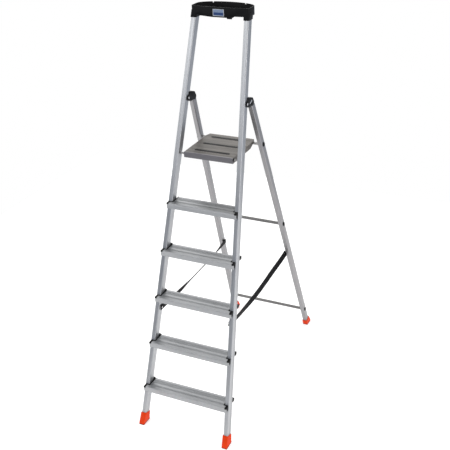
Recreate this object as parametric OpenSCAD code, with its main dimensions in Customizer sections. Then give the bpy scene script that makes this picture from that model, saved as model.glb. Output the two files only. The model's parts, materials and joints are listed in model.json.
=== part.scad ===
// Folding aluminium step ladder with treads, a tilting platform and a top tool tray.
// Millimetres, +X to the user's right, +Y to the rear, +Z up.
// The origin is on the floor, under the middle of the open ladder.

/* [Front frame] */
// Lean of the front stiles back from the vertical, degrees
front_lean = 18; // [17:0.5:19]
// Inward slope of each front stile in the plane of its frame, degrees
front_splay = 2.86; // [2.6:0.02:3.1]
// Width over the front stiles at the floor
front_base_w = 501; // [496:1:512]
// Stile section, from side to side
stile_w = 24; // [22:0.5:26]
// Stile section, from front to back
stile_d = 41; // [38:0.5:42]
// Wall thickness of the stile extrusion
stile_wall = 1.8; // [1.4:0.1:2.4]
// Height at which the stiles end, inside the tray
stile_top_z = 1994; // [1985:1:1997]

/* [Treads] */
// Number of treads below the platform
tread_count = 5; // [5:1:5]
// Height of the first tread's upper face
first_tread_z = 214; // [205:1:225]
// Height from one tread to the next
tread_pitch = 230; // [225:1:231]
// Reach of a tread in front of the stiles
tread_nose = 25; // [20:1:27]
// Reach of a tread behind the line of the stiles' front faces
tread_reach = 61; // [52:1:61]
// Height of a tread's section
tread_h = 29; // [26:1:31]

/* [Rear frame] */
// Lean of the rear legs forward from the vertical, degrees
rear_lean = 19.8; // [19:0.1:20.5]
// Inward slope of each rear leg in the plane of its frame, degrees
rear_splay = 2.92; // [2.8:0.02:3.0]
// Width over the rear legs at the floor
rear_base_w = 508; // [504:1:514]
// Distance at the floor between the front faces of the stiles and of the rear legs
base_span = 1175; // [1165:1:1180]
// Leg section, from side to side
leg_w = 24; // [22:0.5:25]
// Leg section, from front to back
leg_d = 33; // [30:0.5:34]
// Diameter of the two rear braces
brace_dia = 17; // [14:0.5:19]
// Height of the upper rear brace
upper_brace_z = 826; // [800:1:860]
// Height of the lower rear brace
lower_brace_z = 130; // [115:1:160]

/* [Hinge] */
// Height of the hinge axis
pivot_z = 1606; // [1600:1:1612]
// Distance of the hinge axis behind the line of the stiles' front faces
pivot_back = 30; // [28:0.5:31]
// Radius of the hinge rivets
rivet_r = 4; // [3:0.1:5]
// Thickness of the hinge heads' side plates
cheek_t = 2; // [1.6:0.1:2.4]

/* [Platform] */
// Height of the platform's upper face
deck_z = 1368; // [1366:1:1372]
// Width of the platform
deck_w = 260; // [250:1:264]
// Length of the platform, front to back
deck_l = 272; // [268:1:274]
// Height of the platform's side skirts
deck_h = 27; // [24:0.5:28]
// Diameter of the rod that the platform turns on
rod_dia = 8; // [7:0.5:10]
// Diameter of the tube that carries the platform's rear edge
support_dia = 15; // [12:0.5:15]

/* [Tray] */
// Height of the tray's rim
tray_top_z = 2022; // [2018:1:2026]
// Half of the tray's width
tray_half_w = 147; // [146:1:151]
// Depth of the tray's side wall below the rim
tray_h = 39; // [35:1:42]

/* [Straps] */
// Width of the spreader straps' webbing
strap_w = 25; // [20:1:26]
// Thickness of the webbing
strap_t = 2; // [1.6:0.1:2.4]
// Height of the straps' front anchors
strap_front_z = 606; // [604:1:608]
// Height of the straps' rear anchors
strap_rear_z = 603; // [600:1:606]
// Distance of the fold in a strap from its front anchor
strap_fold_at = 402; // [398:1:406]

/* [Hidden] */
$fn = 64;

aluminium = [0.74, 0.76, 0.79];
black_plastic = [0.09, 0.09, 0.1];
orange_plastic = [0.93, 0.3, 0.08];
deck_brown = [0.5, 0.47, 0.43];
webbing_black = [0.07, 0.07, 0.07];

// The feet reach this far beyond the legs' faces, which also places the origin.
foot_toe = 8;
foot_heel = 48;
front_y = foot_toe - (foot_toe + base_span + foot_heel) / 2;
rear_y = front_y + base_span;
far = 3000;

// Lines of the two frames at a height z
function front_face_y(z) = front_y + z * tan(front_lean);
function front_half_w(z) = front_base_w / 2 - z * tan(front_splay) / cos(front_lean);
function front_inner_w(z) = front_half_w(z) - stile_w / cos(front_splay);
// Half width over the stiles at a place the given distance behind their front line
function front_half_at(z, back) = front_half_w(z) - back * sin(front_lean) * tan(front_splay);
function rear_face_y(z) = rear_y - z * tan(rear_lean);
function rear_mid_y(z) = rear_face_y(z) + leg_d / 2 / cos(rear_lean);
function rear_half_w(z) = rear_base_w / 2 - z * tan(rear_splay) / cos(rear_lean);
function rear_inner_w(z) = rear_half_w(z) - leg_w / cos(rear_splay);
// Length along a stile or a leg that reaches the height z
function front_run(z) = z / cos(front_lean) / cos(front_splay);
function rear_run(z) = z / cos(rear_lean) / cos(rear_splay);

// Points of an arc of radius r about c, from angle a0 to angle a1
function arc(c, r, a0, a1, n = 8) =
    [for (i = [0:n]) [c[0] + r * cos(a0 + (a1 - a0) * i / n), c[1] + r * sin(a0 + (a1 - a0) * i / n)]];
// Rectangle w by d about the origin with corners of radius r
function rounded(w, d, r, n = 5) = concat(
    arc([w / 2 - r, d / 2 - r], r, 0, 90, n), arc([r - w / 2, d / 2 - r], r, 90, 180, n),
    arc([r - w / 2, r - d / 2], r, 180, 270, n), arc([w / 2 - r, r - d / 2], r, 270, 360, n));

// The right-hand copy as drawn, or its mirror image on the left
module handed(side) {
    if (side > 0) children();
    else mirror([1, 0, 0]) children();
}

module both_sides() {
    for (side = [-1, 1]) handed(side) children();
}

// Frame of the right stile: x from its outer face, y from its front face, z along it
module along_stile() {
    translate([front_base_w / 2, front_y, 0]) rotate([-front_lean, 0, 0]) rotate([0, -front_splay, 0])
        children();
}

// Frame of the right rear leg: x from its outer face, y from its front face, z along it
module along_leg() {
    translate([rear_base_w / 2, rear_y, 0]) rotate([rear_lean, 0, 0]) rotate([0, -rear_splay, 0])
        children();
}

// Cylinder along X between two places
module x_rod(x0, x1, y, z, r) {
    translate([x0, y, z]) rotate([0, 90, 0]) cylinder(r = r, h = x1 - x0);
}

// Prism along X whose outline is drawn in Y and Z
module x_prism(x0, x1, outline) {
    translate([x0, 0, 0]) rotate([90, 0, 90]) linear_extrude(x1 - x0) polygon(outline);
}

// ---- Front stiles ----

pivot_y = front_face_y(pivot_z) + pivot_back;
rod_z = deck_z - 10;
rod_y = front_face_y(rod_z) + 18;
stile_r = 5;
groove_w = 7;
groove_depth = 0.6;

module stile_outline() {
    translate([-stile_w / 2, stile_d / 2]) polygon(rounded(stile_w, stile_d, stile_r));
}

module leg_outline() {
    translate([-leg_w / 2, leg_d / 2]) polygon(rounded(leg_w, leg_d, 4));
}

module stile_section() {
    difference() {
        stile_outline();
        translate([-stile_w / 2, stile_d / 2])
            polygon(rounded(stile_w - 2 * stile_wall, stile_d - 2 * stile_wall, stile_r - stile_wall));
        // Shallow grooves down the front face and the outer face
        translate([-stile_w / 2 - groove_w / 2, -1]) square([groove_w, 1 + groove_depth]);
        translate([-groove_depth, stile_d / 2 - groove_w]) square([2, 2 * groove_w]);
    }
}

module front_stile(side) {
    color(aluminium) handed(side) difference() {
        along_stile() translate([0, 0, -30]) linear_extrude(30 + front_run(stile_top_z)) stile_section();
        below(sole_t);
        x_rod(0, far, pivot_y, pivot_z, rivet_r);
        x_rod(0, rod_reach, rod_y, rod_z, rod_dia / 2);
    }
}

// ---- Treads ----

cap_t = 5;
cap_rise = 1;
plug_w = 11;
plug_h = 6;
strip_h = 14;
tread_wall = 2;
nose_end = 4;
hook_reach = 16;
hook_z = 8;
hook_h = 16;

function tread_z(i) = first_tread_z + i * tread_pitch;

// Side outline of a tread, y from the stiles' front line and z from its upper face
function tread_outline(g = 0) = concat(
    [[tread_reach + g, -tread_h], [tread_reach + g, -2], [tread_reach + g - 2, g]],
    arc([-tread_nose + 2.5, g - 2.5], 2.5, 90, 180, 5),
    [[-tread_nose - g, -4], [-tread_nose + 1.5 - g, -10], [-tread_nose + 2 - g, -tread_h]]);

function tread_hollow() = [
    [tread_reach - tread_wall, -tread_h - 1], [tread_reach - tread_wall, -tread_wall - 1],
    [-tread_nose + 3, -tread_wall - 1], [-tread_nose + 4.3, -tread_h - 1]];

// Room for the right stile and what lies behind it, grown by g forwards and inwards
module stile_notch(z, g) {
    along_stile() translate([-stile_w - g, -g, front_run(z - 60)])
        cube([stile_w + g + 40, 120, 100]);
}

// Place at the right end of a tread's nose that its end cap fills
module nose_corner(z) {
    translate([front_half_w(z) - nose_end - plug_w, front_face_y(z) - 60, z - plug_h])
        cube([plug_w + 1, 60 - cap_t + 1, plug_h + 10]);
}

// Upper part of the room round the stile, which the end cap lines
module cap_notch(z) {
    intersection() {
        stile_notch(z, cap_t);
        translate([0, -far, z - strip_h]) cube([far, 2 * far, 100]);
    }
}

module tread(i) {
    z = tread_z(i);
    half = front_half_w(z) - nose_end;
    color(aluminium) difference() {
        translate([0, front_face_y(z), z]) difference() {
            x_prism(-half, half, tread_outline());
            x_prism(-far, far, tread_hollow());
            // Two bands of grip grooves along the upper face
            for (k = [0, 1, 2, 6, 7, 8, 9, 10, 11])
                translate([-far, -tread_nose + 21 + 4.4 * k, -1.2]) cube([2 * far, 2, 2]);
        }
        both_sides() {
            stile_notch(z, 0);
            cap_notch(z);
            nose_corner(z);
        }
    }
}

// Hook behind the stile, and the web that joins it to the strip along the stile's side
module hook_solid(run) {
    along_stile() {
        translate([-stile_w - cap_t, stile_d, run + hook_z - 4])
            cube([stile_w + cap_t, hook_reach - 6, hook_h]);
        translate([-stile_w, stile_d, run + hook_z]) cube([stile_w + 1.5, hook_reach, hook_h]);
    }
}

// S-shaped end cap: along the stile's inner side, across its front face and out to the tread's nose
module tread_cap(i, side) {
    z = tread_z(i);
    half = front_half_w(z) - nose_end;
    run = front_run(z);
    color(black_plastic) handed(side) difference() {
        union() {
            intersection() {
                translate([0, front_face_y(z), z]) x_prism(0, half, tread_outline(cap_rise));
                union() {
                    cap_notch(z);
                    nose_corner(z);
                }
            }
            // Plug inside the nose, which closes the end of the tread
            translate([0, front_face_y(z), z]) intersection() {
                x_prism(half - plug_w, half - 1, tread_hollow());
                translate([0, -60, 4 - tread_h]) cube([far, 60 - cap_t + 1, tread_h - 4 - plug_h + 1]);
            }
            // Hook round the back of the stile, which the uppermost tread goes without
            if (i < tread_count - 1)
                hook_solid(run);
        }
        difference() {
            stile_notch(z, 0);
            if (i < tread_count - 1) hook_solid(run);
        }
    }
}

// ---- Feet ----

shoe_wall = 2.4;
sole_t = 8;

// Everything under the height z
module below(z) {
    translate([-far, -far, z - 500]) cube([2 * far, 2 * far, 500]);
}

// Side outlines of the feet, y from the line of the stiles' or the legs' front faces
function front_shoe() = [
    [-foot_toe, 0], [-foot_toe, 5], [17.4, 62], [58.6, 48.7], [50.5, 14], [51, 9], [51, 0]];
function rear_shoe() = [
    [-5, 0], [-6, 5], [-15, 34], [22, 49], [foot_heel - 1, 13], [foot_heel, 8], [foot_heel, 0]];

module front_foot(side) {
    color(orange_plastic) handed(side) difference() {
        intersection() {
            along_stile() translate([-stile_w - shoe_wall, -60, -60]) cube([stile_w + 2 * shoe_wall, 160, 160]);
            translate([0, front_y, 0]) x_prism(0, far, front_shoe());
        }
        difference() {
            along_stile() translate([0, 0, -30]) linear_extrude(200) stile_outline();
            below(sole_t);
        }
    }
}

module rear_foot(side) {
    color(orange_plastic) handed(side) difference() {
        intersection() {
            along_leg() translate([-leg_w - shoe_wall, -60, -60]) cube([leg_w + 2 * shoe_wall, 160, 160]);
            translate([0, rear_y, 0]) x_prism(0, far, rear_shoe());
        }
        difference() {
            along_leg() translate([0, 0, -30]) linear_extrude(200) leg_outline();
            below(sole_t);
        }
    }
}

// ---- Top tray ----

tray_wall = 3.5;
tray_floor_z = tray_top_z - 22;
tray_front_y = front_face_y(tray_top_z) - 13;
tray_side_l = 60;
tray_back_l = 124;
tray_bow = 8;

// Outline of the tray seen from above, drawn inwards by g, y from its front corners
function tray_plan(g = 0) = concat(
    arc([tray_half_w - 12, 12], 12 - g, 0, -75, 6),
    [for (a = [1:7]) [(tray_half_w - 28) * cos(22.5 * a), g - tray_bow * sin(22.5 * a)]],
    arc([12 - tray_half_w, 12], 12 - g, 255, 180, 6),
    [[g - tray_half_w, tray_side_l]],
    [for (a = [1:13]) let (t = 180 - a * 180 / 14)
        [(tray_half_w - g) * cos(t), tray_side_l + (tray_back_l - tray_side_l - g) * sin(t)]],
    [[tray_half_w - g, tray_side_l]]);

// Sleeve over the top of the right stile
module tray_socket() {
    intersection() {
        along_stile() translate([-stile_w / 2, stile_d / 2, front_run(1940)])
            linear_extrude(80) polygon(rounded(stile_w + 7, stile_d + 5, 6));
        translate([0, front_y, 1969]) cube([far, far, tray_floor_z - 1968]);
    }
}

module top_tray() {
    z0 = tray_top_z - tray_h;
    y0 = tray_front_y - tray_bow;
    color(black_plastic) difference() {
        union() {
            translate([0, tray_front_y, z0]) linear_extrude(tray_h) polygon(tray_plan());
            both_sides() tray_socket();
            // Deeper middle of the front wall and the small hook under it
            translate([0, y0 + 5, 0]) rotate([90, 0, 0]) linear_extrude(5)
                polygon([[-122, z0 + 4], [-100, z0 - 3], [-40, z0 - 7], [66, z0 - 7], [84, z0 + 4]]);
            translate([40, y0, z0 - 12]) cube([24, 5, 16]);
        }
        // Basin above the floor and hollow below it
        translate([0, tray_front_y, tray_floor_z]) linear_extrude(60) polygon(tray_plan(tray_wall));
        difference() {
            translate([0, tray_front_y, z0 - 1]) linear_extrude(tray_h - 24) polygon(tray_plan(tray_wall));
            both_sides() tray_socket();
            translate([-110, y0, z0 - 20]) cube([220, 5, 60]);
        }
        both_sides() along_stile() translate([0, 0, front_run(1900)])
            linear_extrude(front_run(stile_top_z - 1900)) stile_outline();
        // Notches in the rear rim
        for (x = [-84, 84])
            translate([x - 3, tray_front_y + tray_side_l + 5, tray_top_z - 5]) cube([6, 60, 10]);
    }
}

module label_plate() {
    color([0.7, 0.75, 0.85]) translate([-30, tray_front_y - tray_bow - 1, tray_top_z - 40]) cube([56, 1, 31]);
}

// ---- Platform rod ----

rod_reach = front_inner_w(rod_z) + 8;

module platform_rod() {
    color([0.45, 0.46, 0.48]) x_rod(-rod_reach, rod_reach, rod_y, rod_z, rod_dia / 2);
}

// Collar on the stile's inner face where the rod goes in
module rod_collar(side) {
    color(black_plastic) handed(side) difference() {
        x_rod(front_inner_w(rod_z) - collar_t, front_inner_w(rod_z) + 4, rod_y, rod_z, 6.5);
        x_rod(0, far, rod_y, rod_z, rod_dia / 2);
        along_stile() translate([-stile_w, -5, front_run(rod_z - 40)]) cube([stile_w + 10, stile_d + 10, 80]);
    }
}

collar_t = 2;

// ---- Hinge ----

hinge_mid_x = front_half_at(pivot_z, pivot_back) - stile_w / 2;
// The side plates stand square to the hinge axis, so they clear the sloping stile by these gaps
cheek_out = hinge_mid_x + stile_w / 2 + 1.6;
cheek_in = hinge_mid_x - stile_w / 2 - 1.8;

module rivet_head(x, dir) {
    translate([x, pivot_y, pivot_z]) rotate([0, 90 * dir, 0]) rotate_extrude()
        polygon([[0, 0], [5.5, 0], [5.5, 0.6], [4.6, 1.7], [2.6, 2.5], [0, 2.8]]);
}

module hinge_rivet(side) {
    color(aluminium) handed(side) {
        x_rod(cheek_in - cheek_t - 0.2, cheek_out + cheek_t + 0.2, pivot_y, pivot_z, rivet_r);
        rivet_head(cheek_out + cheek_t + 0.1, 1);
        rivet_head(cheek_in - cheek_t - 0.1, -1);
    }
}

// Side outline of a hinge head about its axis, drawn inwards by g
function head_outline(g = 0) = concat(
    arc([-1, 0], 14 - g, 115, 250, 10),
    [[20, -22 + g], [46, -23 + g]],
    arc([63, -11], 14 - g, -80, 20, 8),
    arc([54, 3.5], 13.5 - g, 25, 75, 5),
    [[28, 24 - g]],
    arc([13, 22], 6 - g, 75, 165, 5),
    [[5, 16 - g]]);

// Region behind the stile at every angle of the hinge, for the solid part of a head
head_clear = stile_d - pivot_back * cos(front_lean) + 0.8;
function head_back(g = 0) = [
    [(head_clear + g + 60 * sin(front_lean)) / cos(front_lean), 60],
    [head_clear + g, 0],
    [(head_clear + g + 60 * sin(rear_lean)) / cos(rear_lean), -60],
    [120, -60], [120, 60]];

// Teardrop window in a head's outer plate
function window_outline() = concat(
    arc([53, 1], 7.5, -30, 150, 8), arc([31, -8], 5, 150, 300, 8));

module hinge_head(side) {
    color(black_plastic) handed(side) difference() {
        translate([0, pivot_y, pivot_z]) difference() {
            x_prism(cheek_in - cheek_t, cheek_out + cheek_t, head_outline());
            // Room for the stile
            difference() {
                x_prism(cheek_in, cheek_out, [[-90, -90], [120, -90], [120, 90], [-90, 90]]);
                x_prism(0, far, head_back());
            }
            // Hollow ahead of the leg, inside a rim
            intersection() {
                x_prism(cheek_in, cheek_out, head_outline(3.5));
                x_prism(0, far, head_back(3.5));
            }
            x_prism(hinge_mid_x, far, window_outline());
        }
        x_rod(0, far, pivot_y, pivot_z, rivet_r + 0.05);
        leg_solid();
    }
}

// Metal plate inside a head, seen through its window
module hinge_liner(side) {
    color(aluminium) handed(side) difference() {
        translate([0, pivot_y, pivot_z]) intersection() {
            x_prism(cheek_out - 1.5, cheek_out, head_outline(3.6));
            x_prism(0, far, head_back(3.6));
        }
        leg_solid();
    }
}

// ---- Rear frame ----

leg_top_z = 1602;
leg_wall = 1.6;
tube_wall = 1.5;
support_z = deck_z - 14;
support_y = rear_mid_y(support_z);

module leg_section() {
    difference() {
        leg_outline();
        translate([-leg_w / 2, leg_d / 2]) polygon(rounded(leg_w - 2 * leg_wall, leg_d - 2 * leg_wall, 2.4));
    }
}

// Outside of a leg, whose top is cut level and bevelled inside the hinge head
module leg_solid() {
    difference() {
        along_leg() translate([0, 0, -30]) linear_extrude(30 + rear_run(leg_top_z + 40)) leg_outline();
        translate([0, front_y, leg_top_z]) cube([far, far, 200]);
        translate([0, pivot_y + 71, leg_top_z - 4]) rotate([-45, 0, 0]) translate([0, -100, 0]) cube([far, 200, 200]);
    }
}

module rear_leg(side) {
    color(aluminium) handed(side) intersection() {
        leg_solid();
        difference() {
            along_leg() translate([0, 0, -30]) linear_extrude(30 + rear_run(leg_top_z + 40)) leg_section();
            below(sole_t);
            x_rod(0, far, rear_mid_y(upper_brace_z), upper_brace_z, brace_dia / 2);
            x_rod(0, far, rear_mid_y(lower_brace_z), lower_brace_z, brace_dia / 2);
            x_rod(0, far, support_y, support_z, support_dia / 2);
        }
    }
}

// Tube across the rear legs, cut off flush with their outer faces
module cross_tube(z, dia) {
    half = rear_half_w(z) - 0.6;
    color(aluminium) difference() {
        x_rod(-half, half, rear_mid_y(z), z, dia / 2);
        x_rod(-far, far, rear_mid_y(z), z, dia / 2 - tube_wall);
    }
}

// Black plug in one end of a cross tube
module tube_cap(z, dia, flange, side) {
    color(black_plastic) handed(side) difference() {
        union() {
            x_rod(rear_half_w(z) - 20, rear_half_w(z), rear_mid_y(z), z, dia / 2 - tube_wall);
            x_rod(rear_half_w(z) - 0.6, rear_half_w(z) + 2.4, rear_mid_y(z), z, flange / 2);
            x_rod(rear_half_w(z) - 0.6, rear_half_w(z) + 4, rear_mid_y(z), z, flange / 2 - 2);
        }
        difference() {
            along_leg() translate([-leg_w, -5, rear_run(z - 40)]) cube([leg_w, leg_d + 10, 90]);
            x_rod(0, far, rear_mid_y(z), z, dia / 2 - tube_wall);
        }
    }
}

// ---- Platform ----

deck_front_y = rod_y - rod_dia / 2 - 4.5;
deck_top_t = 4;
skirt_t = 4;
lip_t = 2;
slot_count = 3;
slot_l = 182;
slot_w = 11;

// Side outline of a skirt: hooked over the support tube, open below and in front of it
function skirt_outline() = let (
        y0 = deck_front_y + lip_t, y1 = deck_front_y + deck_l, zb = deck_z - deck_h,
        r = support_dia / 2 + 0.5)
    concat([[y0, deck_z - 1], [y0, zb], [support_y - 46, zb]],
        arc([support_y, support_z], r, 150, 0, 6),
        [[support_y + r, zb], [y1, zb], [y1, deck_z - 1]]);

// Round-ended slot number k through the deck, from z up by h, drawn inwards by g
module slot_solid(k, z, h, g) {
    translate([0, deck_front_y + 47 + 92 * k, z]) linear_extrude(h)
        polygon(rounded(slot_l - 2 * g, slot_w - 2 * g, slot_w / 2 - g - 0.1, 8));
}

strip_rim = 3;
strip_proud = 0.6;
strip_gap = 0.02;

// Black tread strip: it fills a slot, and its rim lies on the deck round the slot
module slot_strip(k) {
    color(black_plastic) {
        slot_solid(k, deck_z - deck_top_t, deck_top_t + strip_gap, 0);
        slot_solid(k, deck_z + strip_gap, strip_proud, -strip_rim);
    }
}

module platform_deck() {
    y1 = deck_front_y + deck_l;
    color(deck_brown) difference() {
        union() {
            translate([-deck_w / 2, deck_front_y + lip_t, deck_z - deck_top_t])
                cube([deck_w, deck_l - lip_t, deck_top_t]);
            for (x = [-deck_w / 2, -45, 45 - skirt_t, deck_w / 2 - skirt_t])
                x_prism(x, x + skirt_t, skirt_outline());
            translate([-deck_w / 2, y1 - 4, deck_z - deck_h]) cube([deck_w, 4, deck_h]);
        }
        for (k = [0:slot_count - 1])
            slot_solid(k, deck_z - 50, 100, 0);
        both_sides() translate([deck_w / 2, y1 - 30, deck_z - 50]) rotate([0, 0, 14]) cube([20, 60, 100]);
        x_rod(-far, far, rod_y, rod_z, rod_dia / 2 + 1.5);
    }
}

module platform_front_lip() {
    color(aluminium) translate([-deck_w / 2, deck_front_y, deck_z - deck_h]) {
        cube([deck_w, lip_t, deck_h + 0.6]);
        translate([0, 0, deck_h]) cube([deck_w, 7, 0.6]);
    }
}

// Plastic bush in one of the platform's skirts
module rod_bush(side) {
    r = rod_dia / 2;
    color(black_plastic) handed(side) difference() {
        union() {
            x_rod(deck_w / 2 - skirt_t - 4, deck_w / 2, rod_y, rod_z, r + 1.5);
            x_rod(deck_w / 2, deck_w / 2 + 2.5, rod_y, rod_z, r + 3);
        }
        x_rod(0, far, rod_y, rod_z, r + 0.05);
    }
}

// ---- Spreader straps ----

strap_gap = 2.5;
strap_x1 = front_inner_w(strap_front_z) - strap_gap;
strap_x0 = strap_x1 - strap_w;
strap_back = 19;
strap_front_y = front_face_y(strap_front_z) + strap_back / cos(front_lean);
strap_rear_y = rear_mid_y(strap_rear_z);
strap_l = norm([strap_rear_y - strap_front_y, strap_rear_z - strap_front_z]);
strap_slope = atan2(strap_rear_z - strap_front_z, strap_rear_y - strap_front_y);
pin_r = 3;
eye_w = 5;
eye_run = 9;
fold_r = 1.4;

// Frame along a strap: y from the front anchor to the rear one, z across the webbing
module along_strap() {
    translate([0, strap_front_y, strap_front_z]) rotate([strap_slope, 0, 0]) children();
}

module strap_front(side) {
    color(webbing_black) handed(side) along_strap() difference() {
        union() {
            translate([strap_x0, eye_run, -strap_t / 2]) cube([strap_w, strap_fold_at - eye_run, strap_t]);
            translate([strap_x1 - eye_w, 0, -strap_t / 2]) cube([eye_w, eye_run + 1, strap_t]);
            x_rod(strap_x1 - eye_w, strap_x1, 0, 0, pin_r + 2);
            x_rod(strap_x0, strap_x1, strap_fold_at, strap_t / 2, fold_r);
        }
        x_rod(0, far, 0, 0, pin_r + 0.05);
    }
}

module strap_rear(side) {
    color(webbing_black) handed(side) along_strap() {
        translate([strap_x0, strap_fold_at + fold_r + 0.4, -strap_t / 2])
            cube([strap_w, strap_l - strap_fold_at - fold_r - 0.4, strap_t]);
        x_rod(strap_x0, strap_x1, strap_l, 0, pin_r + 2);
    }
}

// Bracket on the stile's inner face with the pin that the strap turns on
module strap_anchor(side) {
    color(aluminium) handed(side) difference() {
        union() {
            x_rod(strap_x1 - eye_w - 2, strap_x1 + 6, strap_front_y, strap_front_z, pin_r);
            x_rod(strap_x1 - eye_w - 2, strap_x1 - eye_w - 0.5, strap_front_y, strap_front_z, pin_r + 1.6);
            x_rod(strap_x1 + 0.5, strap_x1 + 8, strap_front_y, strap_front_z, 8);
        }
        along_stile() translate([-stile_w, -20, front_run(500)]) cube([stile_w + 40, 100, 300]);
    }
}

// Pad on the leg's inner face beside the strap's rear end
module strap_pad(side) {
    color(black_plastic) handed(side) difference() {
        x_rod(strap_x1 + 1, strap_x1 + 16, strap_rear_y, strap_rear_z, 11);
        along_leg() translate([-leg_w, -20, rear_run(500)]) cube([leg_w + 40, 100, 300]);
    }
}

// ---- The parts ----

front_stile(-1);  // front_stile_left
front_stile(1);  // front_stile_right
tread(0);  // tread_1
tread(1);  // tread_2
tread(2);  // tread_3
tread(3);  // tread_4
tread(4);  // tread_5
tread_cap(0, -1);  // tread_1_cap_left
tread_cap(0, 1);  // tread_1_cap_right
tread_cap(1, -1);  // tread_2_cap_left
tread_cap(1, 1);  // tread_2_cap_right
tread_cap(2, -1);  // tread_3_cap_left
tread_cap(2, 1);  // tread_3_cap_right
tread_cap(3, -1);  // tread_4_cap_left
tread_cap(3, 1);  // tread_4_cap_right
tread_cap(4, -1);  // tread_5_cap_left
tread_cap(4, 1);  // tread_5_cap_right
front_foot(-1);  // front_foot_left
front_foot(1);  // front_foot_right
top_tray();
label_plate();
platform_rod();
rod_collar(-1);  // rod_collar_left
rod_collar(1);  // rod_collar_right
hinge_rivet(-1);  // hinge_rivet_left
hinge_rivet(1);  // hinge_rivet_right
strap_anchor(-1);  // strap_anchor_left
strap_anchor(1);  // strap_anchor_right
rear_leg(-1);  // rear_leg_left
rear_leg(1);  // rear_leg_right
hinge_head(-1);  // hinge_head_left
hinge_head(1);  // hinge_head_right
hinge_liner(-1);  // hinge_liner_left
hinge_liner(1);  // hinge_liner_right
cross_tube(upper_brace_z, brace_dia);  // upper_rear_brace
cross_tube(lower_brace_z, brace_dia);  // lower_rear_brace
cross_tube(support_z, support_dia);  // platform_support_tube
tube_cap(upper_brace_z, brace_dia, 22, -1);  // upper_brace_cap_left
tube_cap(upper_brace_z, brace_dia, 22, 1);  // upper_brace_cap_right
tube_cap(lower_brace_z, brace_dia, 22, -1);  // lower_brace_cap_left
tube_cap(lower_brace_z, brace_dia, 22, 1);  // lower_brace_cap_right
tube_cap(support_z, support_dia, 22, -1);  // support_tube_cap_left
tube_cap(support_z, support_dia, 22, 1);  // support_tube_cap_right
rear_foot(-1);  // rear_foot_left
rear_foot(1);  // rear_foot_right
strap_pad(-1);  // strap_pad_left
strap_pad(1);  // strap_pad_right
platform_deck();
platform_front_lip();
slot_strip(0);  // deck_strip_1
slot_strip(1);  // deck_strip_2
slot_strip(2);  // deck_strip_3
rod_bush(-1);  // rod_bush_left
rod_bush(1);  // rod_bush_right
strap_front(-1);  // strap_front_left
strap_front(1);  // strap_front_right
strap_rear(-1);  // strap_rear_left
strap_rear(1);  // strap_rear_right
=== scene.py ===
import json
import math

import bmesh
import bpy
from mathutils import Matrix, Vector
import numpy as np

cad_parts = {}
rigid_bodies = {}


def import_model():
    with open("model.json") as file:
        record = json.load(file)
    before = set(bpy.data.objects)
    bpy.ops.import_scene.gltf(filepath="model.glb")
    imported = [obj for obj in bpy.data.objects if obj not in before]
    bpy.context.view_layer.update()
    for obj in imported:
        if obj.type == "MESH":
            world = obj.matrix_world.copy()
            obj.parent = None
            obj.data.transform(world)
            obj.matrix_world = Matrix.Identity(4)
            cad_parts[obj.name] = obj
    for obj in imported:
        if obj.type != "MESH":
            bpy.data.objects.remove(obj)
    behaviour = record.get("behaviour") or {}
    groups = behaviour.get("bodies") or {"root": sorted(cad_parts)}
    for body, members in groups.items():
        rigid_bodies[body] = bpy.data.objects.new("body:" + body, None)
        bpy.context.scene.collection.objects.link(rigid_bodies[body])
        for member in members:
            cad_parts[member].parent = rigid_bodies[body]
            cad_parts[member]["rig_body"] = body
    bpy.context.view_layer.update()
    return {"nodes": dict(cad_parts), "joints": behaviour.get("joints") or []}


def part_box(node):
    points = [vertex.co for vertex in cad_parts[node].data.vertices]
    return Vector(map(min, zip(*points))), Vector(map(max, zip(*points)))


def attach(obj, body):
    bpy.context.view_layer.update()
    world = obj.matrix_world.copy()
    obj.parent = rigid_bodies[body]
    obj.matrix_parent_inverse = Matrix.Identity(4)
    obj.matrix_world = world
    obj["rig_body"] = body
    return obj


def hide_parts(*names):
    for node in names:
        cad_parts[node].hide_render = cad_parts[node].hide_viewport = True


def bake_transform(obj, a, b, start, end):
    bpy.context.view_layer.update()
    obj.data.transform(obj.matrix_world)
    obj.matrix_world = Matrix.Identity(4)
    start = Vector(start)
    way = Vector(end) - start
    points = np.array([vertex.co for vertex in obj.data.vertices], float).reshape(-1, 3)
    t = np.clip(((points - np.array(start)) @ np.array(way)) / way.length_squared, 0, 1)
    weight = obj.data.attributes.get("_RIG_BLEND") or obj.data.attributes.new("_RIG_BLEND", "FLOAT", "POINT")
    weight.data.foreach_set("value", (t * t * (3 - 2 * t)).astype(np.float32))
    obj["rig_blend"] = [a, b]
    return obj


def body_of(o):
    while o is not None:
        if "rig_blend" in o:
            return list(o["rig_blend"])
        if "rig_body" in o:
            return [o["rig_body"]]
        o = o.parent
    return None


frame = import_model()
nodes = frame["nodes"]
joints = {j["name"]: j for j in frame["joints"]}

FRONT_LEAN = math.radians(18)
REAR_LEAN = math.radians(19.8)


# ---- Camera, light and floor ----

CAMERA_PLACE = (1.58623, -3.20766, 2.73982)
CAMERA_AZIMUTH = math.radians(24.736)
CAMERA_ELEVATION = math.radians(27.757)
CAMERA_ROLL = math.radians(-1.896)
CAMERA_SENSOR = 36
CAMERA_LENS = 61.7648
CAMERA_SHIFT = (-0.044444, 0.022222)


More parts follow.
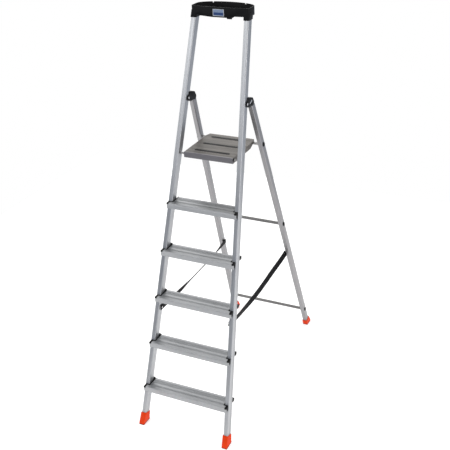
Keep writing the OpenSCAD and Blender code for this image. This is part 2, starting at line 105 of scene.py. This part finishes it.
def place_camera():
    """A camera that looks down on the ladder from the front right, rolled a little."""
    level = math.cos(CAMERA_ELEVATION)
    back = Vector((math.sin(CAMERA_AZIMUTH) * level, -math.cos(CAMERA_AZIMUTH) * level,
                   math.sin(CAMERA_ELEVATION)))
    right = Vector((math.cos(CAMERA_AZIMUTH), math.sin(CAMERA_AZIMUTH), 0))
    up = back.cross(right)
    rolled_right = math.cos(CAMERA_ROLL) * right + math.sin(CAMERA_ROLL) * up
    rolled_up = -math.sin(CAMERA_ROLL) * right + math.cos(CAMERA_ROLL) * up
    data = bpy.data.cameras.new("camera")
    data.sensor_width = CAMERA_SENSOR
    data.lens = CAMERA_LENS
    data.shift_x, data.shift_y = CAMERA_SHIFT
    data.clip_end = 50
    camera = bpy.data.objects.new("camera", data)
    turn = Matrix((rolled_right, rolled_up, back)).transposed().to_4x4()
    camera.matrix_world = Matrix.Translation(CAMERA_PLACE) @ turn
    bpy.context.scene.collection.objects.link(camera)
    bpy.context.scene.camera = camera


def area_light(name, place, target, size, power, colour=(1, 1, 1)):
    data = bpy.data.lights.new(name, "AREA")
    data.shape = "RECTANGLE"
    data.size, data.size_y = size
    data.energy = power
    data.color = colour
    lamp = bpy.data.objects.new(name, data)
    lamp.location = place
    lamp.rotation_euler = (Vector(target) - Vector(place)).to_track_quat("-Z", "Y").to_euler()
    bpy.context.scene.collection.objects.link(lamp)


def set_stops(node, stops):
    """Give a colour ramp its (place, colour) stops."""
    elements = node.color_ramp.elements
    while len(elements) < len(stops):
        elements.new(0.5)
    for element, (place, colour) in zip(elements, stops):
        element.position = place
        element.color = (*colour, 1)


# The room from straight down (0) to straight up (1)
ROOM_STOPS = (
    (0.0, (0.42, 0.46, 0.53)),
    (0.38, (0.55, 0.59, 0.66)),
    (0.52, (0.6, 0.63, 0.69)),
    (0.57, (0.95, 0.95, 0.95)),
    (1.0, (0.95, 0.95, 0.95)),
)
# Cards that the metal mirrors: the direction each lies in, how near to it the rim and middle are, and colour
CARDS = (
    ((-0.45, -0.892, 0.03), (0.9, 0.98), (0.08, 0.11, 0.18)),
    ((-0.4, 0.76, 0.5), (0.72, 0.96), (1.6, 1.6, 1.59)),
)


def light_scene():
    """White to the camera; what lights the metal is grey-blue below the horizon and near white above it.

    A dark blue card low in front shades the stiles' lower ends, and a bright one behind lights the treads.
    """
    world = bpy.data.worlds.new("studio")
    world.use_nodes = True
    tree = world.node_tree
    room = tree.nodes["Background"]
    room.inputs["Strength"].default_value = 1.0
    place = tree.nodes.new("ShaderNodeTexCoord")
    split = tree.nodes.new("ShaderNodeSeparateXYZ")
    height = tree.nodes.new("ShaderNodeMapRange")
    height.inputs["From Min"].default_value = -1
    shades = tree.nodes.new("ShaderNodeValToRGB")
    set_stops(shades, ROOM_STOPS)
    white = tree.nodes.new("ShaderNodeBackground")
    white.inputs["Color"].default_value = (1, 1, 1, 1)
    rays = tree.nodes.new("ShaderNodeLightPath")
    mix = tree.nodes.new("ShaderNodeMixShader")
    tree.links.new(place.outputs["Generated"], split.inputs[0])
    tree.links.new(split.outputs["Z"], height.inputs["Value"])
    tree.links.new(height.outputs[0], shades.inputs[0])
    shade = shades.outputs[0]
    for toward, (rim, middle), colour in CARDS:
        facing = tree.nodes.new("ShaderNodeVectorMath")
        facing.operation = "DOT_PRODUCT"
        facing.inputs[1].default_value = toward
        card = tree.nodes.new("ShaderNodeMapRange")
        card.interpolation_type = "SMOOTHSTEP"
        card.inputs["From Min"].default_value = rim
        card.inputs["From Max"].default_value = middle
        shaded = tree.nodes.new("ShaderNodeMixRGB")
        shaded.inputs["Color2"].default_value = (*colour, 1)
        tree.links.new(place.outputs["Generated"], facing.inputs[0])
        tree.links.new(facing.outputs["Value"], card.inputs["Value"])
        tree.links.new(card.outputs[0], shaded.inputs["Fac"])
        tree.links.new(shade, shaded.inputs["Color1"])
        shade = shaded.outputs[0]
    tree.links.new(shade, room.inputs["Color"])
    tree.links.new(rays.outputs["Is Camera Ray"], mix.inputs[0])
    tree.links.new(room.outputs[0], mix.inputs[1])
    tree.links.new(white.outputs[0], mix.inputs[2])
    tree.links.new(mix.outputs[0], tree.nodes["World Output"].inputs[0])
    bpy.context.scene.world = world
    area_light("softbox_front_left", (-1.9, -2.7, 3.2), (0, 0, 1.3), (2.0, 2.0), 27)
    area_light("softbox_right", (4.4, -1.6, 1.9), (0, 0, 1.0), (1.2, 3.2), 46, (1.0, 0.97, 0.97))
    bpy.context.scene.view_settings.view_transform = "Standard"


def link(name, mesh):
    piece = bpy.data.objects.new(name, mesh)
    bpy.context.scene.collection.objects.link(piece)
    return piece


# ---- Materials ----

class Paint:
    """A node material: kind, inputs by name, and sockets joined by passing an output as a value."""

    def __init__(self, name):
        self.material = bpy.data.materials.new(name)
        self.material.use_nodes = True
        self.tree = self.material.node_tree
        self.shader = self.tree.nodes["Principled BSDF"]

    def add(self, kind, out=0, settings=None, **inputs):
        node = self.tree.nodes.new("ShaderNode" + kind)
        for key, value in (settings or {}).items():
            setattr(node, key, value)
        for key, value in inputs.items():
            self.join(node, key.replace("_", " "), value)
        return node.outputs[out]

    def join(self, node, key, value):
        """Set an input by its name, or by its number when it is written i0, i1 and so on."""
        numbered = key[0] == "i" and key[1:].isdigit()
        socket = node.inputs[int(key[1:]) if numbered else key]
        if isinstance(value, bpy.types.NodeSocket):
            self.tree.links.new(value, socket)
        else:
            socket.default_value = value

    def shade(self, **inputs):
        for key, value in inputs.items():
            self.join(self.shader, key.replace("_", " "), value)

    def coords(self, turn=(0, 0, 0), scale=(1, 1, 1)):
        """Object coordinates, turned into the piece's own directions and stretched."""
        place = self.add("TexCoord", out=3)
        turned = self.add("Mapping", settings={"vector_type": "POINT"}, Vector=place, Rotation=turn)
        return self.add("Mapping", Vector=turned, Scale=scale)

    def noise(self, vector, scale, detail=3.0, rough=0.5):
        return self.add("TexNoise", Vector=vector, Scale=scale, Detail=detail, Roughness=rough)

    def ramp(self, value, stops):
        node = self.tree.nodes.new("ShaderNodeValToRGB")
        set_stops(node, stops)
        self.tree.links.new(value, node.inputs["Fac"])
        return node.outputs["Color"]

    def fit(self, value, low, high, start=0.3, end=0.7):
        """A number spread between low and high as value goes from start to end."""
        return self.add("MapRange", Value=value, From_Min=start, From_Max=end, To_Min=low, To_Max=high)

    def bump(self, height, depth, strength):
        return self.add("Bump", Height=height, Distance=depth, Strength=strength)

    def math(self, operation, *values):
        """A maths node of up to three numbers or sockets."""
        inputs = {"i" + str(k): value for k, value in enumerate(values)}
        return self.add("Math", settings={"operation": operation}, **inputs)

    def split(self, vector):
        """The x, y and z of a vector."""
        node = self.tree.nodes.new("ShaderNodeSeparateXYZ")
        self.tree.links.new(vector, node.inputs[0])
        return node.outputs


def grey(value, tint):
    return tuple(value * t for t in tint)


def drawn_metal(name, level, tint, turn, rough):
    """Extruded metal: fine die lines along local Z, slow mottling and a satin surface."""
    paint = Paint(name)
    lines = paint.noise(paint.coords(turn, (1, 1, 0.004)), 1400, 2.0)
    bands = paint.noise(paint.coords(turn, (1, 1, 0.03)), 90, 3.0)
    mottle = paint.noise(paint.coords(turn), 9, 4.0, 0.6)
    both = paint.math("MULTIPLY_ADD", bands, 0.45, paint.fit(mottle, 0, 0.55, 0, 1))
    colour = paint.ramp(both, [(0.34, grey(level * 0.92, tint)), (0.5, grey(level, tint)),
                               (0.68, grey(level * 1.05, tint))])
    paint.shade(Base_Color=colour, Metallic=1.0, Roughness=paint.fit(bands, rough - 0.05, rough + 0.08),
                Normal=paint.bump(lines, 0.0001, 0.12))
    return paint.material


def moulded_plastic(name, colour, shine, rough=0.46, wear=0.4, sole=None):
    """Moulded plastic with a fine spark-eroded grain, slightly rubbed in places, and maybe a darker band along
    its lowest few millimetres.
    """
    paint = Paint(name)
    place = paint.coords()
    speckle = paint.noise(place, 1100, 2.0)
    cloud = paint.noise(place, 22, 4.0, 0.6)
    light = tuple(c * (1 + wear) for c in colour)
    tone = paint.ramp(cloud, [(0.35, colour), (0.7, light)])
    # Near the floor the tone turns to the given sole colour, up to a ragged edge a few millimetres high
    if sole:
        height = paint.split(paint.add("TexCoord", out=3))[2]
        ragged = paint.math("MULTIPLY_ADD", cloud, 0.004, height)
        low = paint.fit(ragged, 1, 0, 0.0055, 0.0085)
        tone = paint.add("MixRGB", Fac=low, Color1=tone, Color2=(*sole, 1))
    paint.shade(Base_Color=tone, Roughness=paint.fit(cloud, rough - 0.05, rough + 0.08),
                Specular_IOR_Level=shine, Normal=paint.bump(speckle, 0.00012, 0.35))
    return paint.material


DECK_RIB_PITCH = 0.0115
DECK_TONES = (
    (0.36, (0.08, 0.073, 0.066)),
    (0.5, (0.125, 0.114, 0.103)),
    (0.64, (0.19, 0.175, 0.161)),
)


def deck_paint(name):
    """Brown-grey deck with fine ribs along x, scuffed lighter in patches."""
    paint = Paint(name)
    place = paint.coords()
    cloud = paint.noise(place, 9, 4.0, 0.6)
    streak = paint.noise(paint.coords(scale=(0.03, 1, 1)), 75, 3.0)
    speckle = paint.noise(place, 700, 2.0)
    both = paint.math("MULTIPLY_ADD", streak, 0.5, paint.fit(cloud, 0, 0.5, 0, 1))
    phase = paint.math("MULTIPLY", paint.split(place)[1], 2 * math.pi / DECK_RIB_PITCH)
    height = paint.math("MULTIPLY_ADD", paint.math("SINE", phase), 1.4, speckle)
    paint.shade(Base_Color=paint.ramp(both, DECK_TONES), Metallic=0.35, Roughness=paint.fit(cloud, 0.42, 0.56),
                Normal=paint.bump(height, 0.0004, 0.5))
    return paint.material


def webbing_paint(name):
    """Plain-woven polyester, from the strap's own u across and v along in millimetres."""
    paint = Paint(name)
    place = paint.add("UVMap", settings={"uv_map": "weave"})
    threads = paint.split(place)
    across = paint.math("SINE", paint.math("MULTIPLY", threads[0], 4.2))
    along = paint.math("SINE", paint.math("MULTIPLY", threads[1], 3.0))
    weave = paint.math("MULTIPLY", across, along)
    fuzz = paint.noise(place, 2.5, 2.0)
    tone = paint.math("MULTIPLY_ADD", weave, 0.22, fuzz)
    light = tuple(c * 2.6 for c in BLACK)
    paint.shade(Base_Color=paint.ramp(tone, [(0.3, BLACK), (0.75, light)]), Specular_IOR_Level=0.14,
                Roughness=paint.fit(fuzz, 0.55, 0.75), Normal=paint.bump(weave, 0.0003, 0.6))
    return paint.material


def turned_metal(name, colour, rough):
    """Small turned metal: even colour with fine wear."""
    paint = Paint(name)
    cloud = paint.noise(paint.coords(), 60, 3.0, 0.6)
    worn = tuple(c * 0.8 for c in colour)
    paint.shade(Base_Color=paint.ramp(cloud, [(0.3, worn), (0.6, colour)]), Metallic=1.0,
                Roughness=paint.fit(cloud, rough - 0.04, rough + 0.08))
    return paint.material


# Turns that bring local Z along the front frame, the rear frame and the ladder's width
ALONG_FRONT = (FRONT_LEAN, 0, 0)
ALONG_REAR = (-REAR_LEAN, 0, 0)
ALONG_X = (0, math.radians(90), 0)
COOL = (0.97, 0.99, 1.02)
WARM = (1.02, 1.0, 0.985)
BLACK = (0.0045, 0.0045, 0.005)

stile_metal = drawn_metal("stile_aluminium", 0.44, COOL, ALONG_FRONT, rough=0.4)
leg_metal = drawn_metal("leg_aluminium", 0.315, (1.0, 0.99, 1.015), ALONG_REAR, rough=0.44)
tread_metal = drawn_metal("tread_aluminium", 0.36, COOL, ALONG_X, rough=0.42)
lip_metal = drawn_metal("lip_aluminium", 0.2, (1.0, 0.96, 1.0), ALONG_X, rough=0.42)
# Painted highlight: the liner's aluminium is made much brighter than the other aluminium, so it reads bright
# through the hinge head's window where it sits in shade
liner_metal_painted_light = drawn_metal("liner_aluminium", 0.75, COOL, ALONG_X, rough=0.5)
brace_metal = drawn_metal("brace_steel", 0.19, WARM, ALONG_X, rough=0.4)
tube_metal = drawn_metal("support_aluminium", 0.4, WARM, ALONG_X, rough=0.4)
rod_metal = drawn_metal("rod_steel", 0.25, WARM, ALONG_X, rough=0.32)
rivet_metal = turned_metal("fastener_steel", (0.6, 0.6, 0.61), 0.3)
black = moulded_plastic("black_plastic", BLACK, shine=0.1)
orange = moulded_plastic("foot_plastic", (0.6, 0.038, 0.003), shine=0.12, rough=0.5, wear=0.22,
                         sole=(0.12, 0.012, 0.005))
deck_coat = deck_paint("deck")
webbing = webbing_paint("webbing")


NONE = (0, 0, 0)
FULL = (1, 1, 1)


def label_print(name):
    """Plain foil label in two blues inside a silver rim, without any mark."""
    low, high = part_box("label_plate")
    paint = Paint(name)
    place = paint.split(paint.add("TexCoord", out=3))
    foil = paint.ramp(paint.noise(paint.coords(scale=(1, 1, 4)), 120, 3.0),
                      [(0.4, (0.15, 0.2, 0.31)), (0.6, (0.2, 0.26, 0.37))])
    ink = paint.ramp(paint.noise(paint.coords(), 300, 2.0),
                     [(0.4, (0.012, 0.035, 0.12)), (0.6, (0.018, 0.05, 0.16))])
    level = paint.fit(place[2], 0, 1, low.z, high.z)
    band = paint.ramp(level, [(0.1, NONE), (0.14, FULL), (0.5, FULL), (0.54, NONE)])
    inside = paint.add("MixRGB", Fac=band, Color1=foil, Color2=ink)
    width = paint.fit(place[0], 0, 1, low.x, high.x)
    rims = [paint.ramp(value, [(edge, FULL), (edge + 0.02, NONE), (0.98 - edge, NONE), (1 - edge, FULL)])
            for value, edge in ((level, 0.06), (width, 0.035))]
    rim = paint.add("MixRGB", settings={"blend_type": "LIGHTEN"}, Fac=1.0, Color1=rims[0], Color2=rims[1])
    printed = paint.add("MixRGB", Fac=rim, Color1=inside, Color2=(0.42, 0.44, 0.47, 1))
    paint.shade(Base_Color=printed, Roughness=0.35)
    return paint.material


label_foil = label_print("label")


# Start of a CAD node's name, its material and its slot in the record
PAINTED = (
    ("front_stile", stile_metal, "stile_aluminium"),
    ("rear_leg", leg_metal, "leg_aluminium"),
    ("front_foot", orange, "foot_plastic"),
    ("rear_foot", orange, "foot_plastic"),
    ("platform_front_lip", lip_metal, "lip_aluminium"),
    ("platform_deck", deck_coat, "deck"),
    ("platform_rod", rod_metal, "rod_steel"),
    ("rod_collar", rod_metal, "rod_steel"),
    ("upper_rear_brace", brace_metal, "brace_steel"),
    ("lower_rear_brace", brace_metal, "brace_steel"),
    ("platform_support_tube", tube_metal, "brace_steel"),
    ("hinge_rivet", rivet_metal, "fastener_steel"),
    ("strap_anchor", rivet_metal, "fastener_steel"),
    ("hinge_liner", liner_metal_painted_light, "lip_aluminium"),
    ("label_plate", label_foil, "label"),
    ("strap_front", webbing, "webbing"),
    ("strap_rear", webbing, "webbing"),
)


def paint_node(name, material):
    slots = nodes[name].material_slots
    if not slots:
        nodes[name].data.materials.append(material)
    for slot in nodes[name].material_slots:
        slot.material = material


def material_of(name):
    """(material, record slot) of a CAD node."""
    if name.startswith("tread") and "cap" not in name:
        return tread_metal, "tread_aluminium"
    for start, material, slot in PAINTED:
        if name.startswith(start):
            return material, slot
    return black, "black_plastic"


for name in nodes:
    paint_node(name, material_of(name)[0])


# ---- Rounded edges ----

ROUNDED_ABOVE = math.radians(28)
FLAT_BELOW = math.radians(1.5)


def softened(name, width, segments=2):
    """A copy of a CAD node whose edges are rounded, which stands in for it."""
    source = nodes[name]
    bm = bmesh.new()
    bm.from_mesh(source.data)
    bmesh.ops.remove_doubles(bm, verts=bm.verts, dist=1e-6)
    bmesh.ops.dissolve_limit(bm, angle_limit=FLAT_BELOW, verts=bm.verts, edges=bm.edges)
    for face in bm.faces:
        face.smooth = True
    mesh = bpy.data.meshes.new(name + "_rounded")
    bm.to_mesh(mesh)
    bm.free()
    material, slot_name = material_of(name)
    mesh.materials.append(material)
    piece = link(name + "_rounded", mesh)
    piece.matrix_world = source.matrix_world.copy()
    bevel = piece.modifiers.new("edges", "BEVEL")
    bevel.width = width
    bevel.segments = segments
    bevel.limit_method = "ANGLE"
    bevel.angle_limit = ROUNDED_ABOVE
    bevel.use_clamp_overlap = True
    bevel.harden_normals = True
    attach(piece, body_of(source)[0])
    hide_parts(name)
    return piece


for name in list(nodes):
    if "foot" in name:
        softened(name, 0.0022, 3)
    elif name == "top_tray":
        softened(name, 0.0012)
    elif name.startswith("hinge_head"):
        softened(name, 0.0007)
    elif "cap" in name and name.startswith("tread"):
        softened(name, 0.0008)


# ---- Straps ----

STRAP_W = 0.025
STRAP_T = 0.0018
STRAP_RINGS = 110
STRAP_SAG = {"left": 0.006, "right": 0.041}
# Where the webbing ends: in front of the pin, behind the CAD strap and in from its outer side
FRONT_END = 0.009
REAR_END = 0.001
OUTER_INSET = 0.0025
# Each end is hemmed over this share of the strap's length, and this many times as thick
HEM_SHARE = 0.034 / 0.77
HEM_THICK = 1.9
# Between its ends the webbing lies further in, over this share of its length at each end
SLACK_IN = 0.007
SLACK_SHARE = 0.3
# Half the length over which the webbing bends at the fold
FOLD_HALF = 0.012
# How far each strap is rolled over from lying flat, in degrees, along its length
STRAP_ROLL = {
    "left": ((0.0, 90), (0.22, 90), (0.44, 60), (0.78, 60), (0.95, 88), (1.0, 90)),
    "right": ((0.0, 90), (0.1, 88), (0.55, 55), (0.85, 35), (1.0, 40)),
}


def ease(t):
    t = min(1, max(0, t))
    return t * t * (3 - 2 * t)


def between(stops, t):
    """Eased value at t of a list of (place, value) stops."""
    for (t0, v0), (t1, v1) in zip(stops, stops[1:]):
        if t <= t1:
            return v0 + (v1 - v0) * ease((t - t0) / (t1 - t0))
    return stops[-1][1]


def band(name, path, turns, width, thicks, material):
    """A webbing band along a path, with its width turned about the path by the given angles."""
    bm = bmesh.new()
    uv = bm.loops.layers.uv.new("weave")
    # Places across the width, and how thick the webbing is at each
    across = [-0.5, -0.47, -0.4, -0.2, 0, 0.2, 0.4, 0.47, 0.5]
    crown = [0.55, 0.92, 1, 1, 1, 1, 1, 0.92, 0.55]
    rows = []
    length = 0.0
    for i, centre in enumerate(path):
        ahead = path[min(i + 1, len(path) - 1)] - path[max(i - 1, 0)]
        ahead.normalize()
        side = Vector((1, 0, 0)) - ahead * ahead.x
        side.normalize()
        side.rotate(Matrix.Rotation(turns[i], 3, ahead))
        normal = side.cross(ahead)
        if i:
            length += (path[i] - path[i - 1]).length
        half = thicks[i] / 2
        top = [bm.verts.new(centre + side * width * a + normal * half * c) for a, c in zip(across, crown)]
        low = [bm.verts.new(centre + side * width * a - normal * half * c) for a, c in zip(across, crown)]
        rows.append((top + low[::-1], length))
    count = len(rows[0][0])
    for (ring, s0), (after, s1) in zip(rows, rows[1:]):
        for k in range(count):
            after_k = (k + 1) % count
            face = bm.faces.new((ring[k], ring[after_k], after[after_k], after[k]))
            us = [min(k, count - 1 - k), min(after_k, count - 1 - after_k)]
            for loop, (u, v) in zip(face.loops, ((us[0], s0), (us[1], s0), (us[1], s1), (us[0], s1))):
                loop[uv].uv = ((across[u] + 0.5) * width * 1000, v * 1000)
            face.smooth = True
    bm.faces.new(rows[0][0][::-1])
    bm.faces.new(rows[-1][0])
    mesh = bpy.data.meshes.new(name)
    bmesh.ops.recalc_face_normals(bm, faces=bm.faces)
    bm.to_mesh(mesh)
    bm.free()
    mesh.materials.append(material)
    return link(name, mesh)


def strap(side):
    """Webbing strap, upright against the stile and the leg and rolled over by its own slack between them."""
    hand = 1 if side == "right" else -1
    swing = Vector(joints["strap_swing_" + side]["pos_m"])
    fold = Vector(joints["strap_bend_" + side]["pos_m"])
    low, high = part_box("strap_rear_" + side)
    outer = high.x if hand > 0 else low.x
    x_end = outer - hand * OUTER_INSET
    front = Vector((x_end, swing.y - FRONT_END, swing.z - 0.001))
    rear = Vector((x_end, high.y + REAR_END, (low.z + high.z) / 2))
    path = []
    turns = []
    thicks = []
    for i in range(STRAP_RINGS + 1):
        t = i / STRAP_RINGS
        drop = STRAP_SAG[side] * math.sin(math.pi * t ** 0.8) ** 0.85
        slack = ease(t / SLACK_SHARE) * ease((1 - t) / SLACK_SHARE)
        point = front.lerp(rear, t) + Vector((-hand * SLACK_IN * slack, 0, -drop))
        path.append(point)
        turns.append(hand * math.radians(between(STRAP_ROLL[side], t)))
        hemmed = min(t, 1 - t) < HEM_SHARE
        thicks.append(STRAP_T * (HEM_THICK if hemmed else 1))
    piece = band("strap_webbing_" + side, path, turns, STRAP_W, thicks, webbing)
    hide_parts("strap_front_" + side, "strap_rear_" + side)
    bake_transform(piece, "strap_front_link_" + side, "strap_rear_link_" + side,
             start=(0, fold.y - FOLD_HALF, fold.z), end=(0, fold.y + FOLD_HALF, fold.z))


for side in ("left", "right"):
    strap(side)


# ---- Floor ----

FLOOR_HALF = 2.6


def lay_floor():
    """A plain pale floor that fades into the white behind it."""
    bm = bmesh.new()
    bmesh.ops.create_grid(bm, x_segments=2, y_segments=2, size=FLOOR_HALF)
    mesh = bpy.data.meshes.new("floor")
    bm.to_mesh(mesh)
    bm.free()
    floor = link("floor", mesh)
    paint = Paint("floor")
    paint.shade(Base_Color=(0.96, 0.955, 0.955, 1), Roughness=0.95,
                Emission_Color=(1, 1, 1, 1), Emission_Strength=0.3)
    mesh.materials.append(paint.material)


place_camera()
light_scene()
lay_floor()
